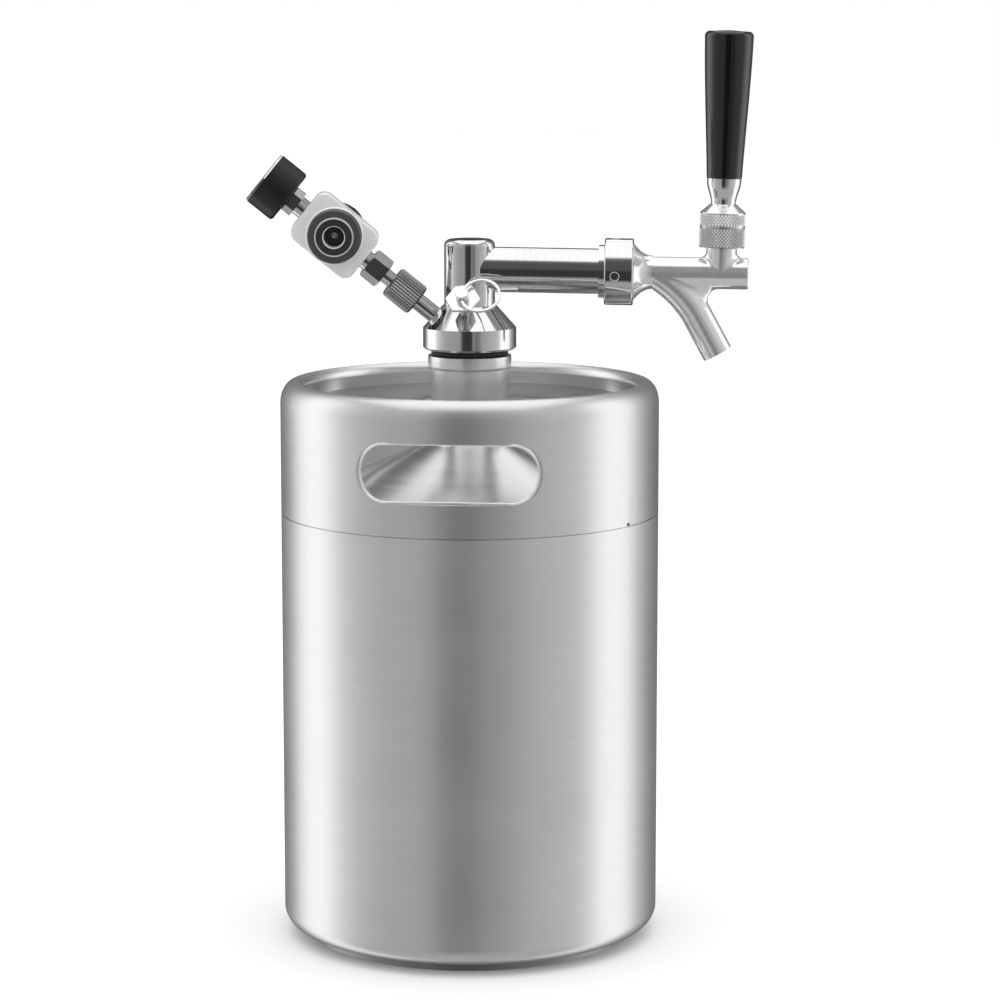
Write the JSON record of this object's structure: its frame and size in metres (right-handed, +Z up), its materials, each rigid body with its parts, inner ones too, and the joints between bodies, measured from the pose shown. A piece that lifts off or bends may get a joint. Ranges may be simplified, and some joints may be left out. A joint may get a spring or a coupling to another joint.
{
  "type": "mini soda keg with faucet and gas regulator",
  "caption": "Stainless mini keg with a rolled rim and handle slots, a screw-in tap head with dip tube and lever faucet, a relief valve, and a cartridge gas regulator with gauge.",
  "frame": {"origin": "middle of the foot ring's underside, where the keg stands", "axes": "+Z up along the keg's axis; +X out along the tap's shank, on the spout side; the regulator is on the -X side and the relief valve on the -Y side"},
  "size_m": [0.2312, 0.175, 0.42],
  "materials": {
    "brushed steel": "circumferentially brushed",
    "dark steel": "dull grey",
    "satin steel": "satin",
    "polished steel": "mirror polished",
    "bright steel": "bright, part knurled",
    "inner steel": "turned",
    "satin aluminium": "bead blasted",
    "anodised aluminium": "grey anodised",
    "nickel ring": "nickel plated",
    "black plastic": "glossy black",
    "gauge black": "satin black",
    "brass": "machined",
    "black rubber": "matt",
    "white nylon": "natural",
    "clear window": "clear",
    "dial white": "printed",
    "needle red": "painted"
  },
  "bodies": {
    "keg": {"body_shell": "brushed steel", "foot_ring": "dark steel", "dome_head": "brushed steel", "neck_tube": "satin steel", "neck_collar": "satin steel", "top_skirt": "brushed steel"},
    "head_gasket": {"head_seal": "black rubber"},
    "tap_head": {"head_cap": "polished steel", "column": "polished steel", "column_seal": "black rubber", "dip_tube": "inner steel", "shank_tube": "polished steel", "shank_ferrule": "polished steel", "coupling_nut": "polished steel", "coupling_washer": "white nylon", "faucet_tail": "polished steel", "faucet_body": "polished steel", "ball_seat": "white nylon", "friction_ring": "white nylon", "faucet_bonnet": "bright steel", "gas_post": "polished steel", "relief_body": "bright steel"},
    "tap_lever": {"lever": "inner steel", "lever_collar": "bright steel", "handle_ferrule": "polished steel", "tap_handle": "black plastic", "handle_insert": "brass"},
    "beer_valve": {"faucet_shaft": "inner steel", "seat_washer": "black rubber"},
    "relief_poppet": {"relief_stem": "polished steel", "relief_seal": "black rubber", "relief_spring": "inner steel"},
    "relief_ring": {"pull_ring": "polished steel"},
    "gas_gasket": {"gas_seal": "black rubber"},
    "regulator": {"gas_nipple": "polished steel", "union_nut": "polished steel", "regulator_inlet": "polished steel", "regulator_body": "satin aluminium", "socket_housing": "anodised aluminium", "cartridge_socket": "nickel ring", "socket_ring": "black rubber", "piercing_pin": "inner steel", "cartridge_seal": "black rubber", "regulator_piston": "inner steel", "piston_seal": "black rubber", "pressure_spring": "inner steel", "regulator_bonnet": "anodised aluminium", "gauge_stem": "bright steel", "gauge_case": "gauge black", "bourdon_tube": "brass", "gauge_dial": "dial white", "gauge_window": "clear window"},
    "gas_coupling": {"gas_nut": "polished steel"},
    "knob": {"pressure_knob": "anodised aluminium"},
    "spring_seat": {"adjusting_nut": "brass"},
    "needle": {"gauge_needle": "needle red"}
  },
  "joints": [
    {"name": "head_lift", "type": "slide", "parent": "keg", "child": "head_gasket", "axis": [0, 0, 1], "range_m": [0, 0.26]},
    {"name": "head_turn", "type": "hinge", "parent": "head_gasket", "child": "tap_head", "pos_m": [0, 0, 0.273], "axis": [0, 0, 1], "continuous": true},
    {"name": "lever_tilt", "type": "hinge", "parent": "tap_head", "child": "tap_lever", "pos_m": [0.11568, 0, 0.32319], "axis": [0, 1, 0], "range_deg": [0, 24]},
    {"name": "valve_slide", "type": "slide", "parent": "tap_head", "child": "beer_valve", "axis": [0.9999, 0, -0.014], "range_m": [-0.006, 0]},
    {"name": "relief_lift", "type": "slide", "parent": "tap_head", "child": "relief_poppet", "axis": [-0.078, -0.7425, 0.6652], "range_m": [0, 0.002], "stiffness_N_per_m": 1500, "springref_m": -0.002},
    {"name": "ring_swing", "type": "hinge", "parent": "relief_poppet", "child": "relief_ring", "pos_m": [-0.00217, -0.02061, 0.30082], "axis": [-0.0695, -0.6616, -0.7466], "range_deg": [0, 180]},
    {"name": "regulator_lift", "type": "slide", "parent": "tap_head", "child": "gas_gasket", "axis": [-0.7738, -0.0589, 0.6307], "range_m": [0, 0.06]},
    {"name": "regulator_swivel", "type": "hinge", "parent": "gas_gasket", "child": "regulator", "pos_m": [-0.03142, -0.00239, 0.30251], "axis": [-0.7738, -0.0589, 0.6307], "continuous": true},
    {"name": "gas_nut_turn", "type": "hinge", "parent": "regulator", "child": "gas_coupling", "pos_m": [-0.02979, -0.00227, 0.30118], "axis": [-0.7738, -0.0589, 0.6307], "continuous": true},
    {"name": "knob_turn", "type": "hinge", "parent": "regulator", "child": "knob", "pos_m": [-0.0627, 0.00927, 0.32713], "axis": [0.0758, -0.9971, 0], "range_deg": [-360, 360]},
    {"name": "spring_seat_slide", "type": "slide", "parent": "regulator", "child": "spring_seat", "axis": [0.0758, -0.9971, 0], "range_m": [-0.00101, 0.00101]},
    {"name": "needle_sweep", "type": "hinge", "parent": "regulator", "child": "needle", "pos_m": [-0.09131, -0.00695, 0.35132], "axis": [0.7738, 0.0589, -0.6307], "range_deg": [0, 270]}
  ],
  "couplings": [
    {"joint": "valve_slide", "follows": "lever_tilt", "m_per_rad": -0.0136},
    {"joint": "spring_seat_slide", "follows": "knob_turn", "m_per_rad": 0.00015915}
  ]
}
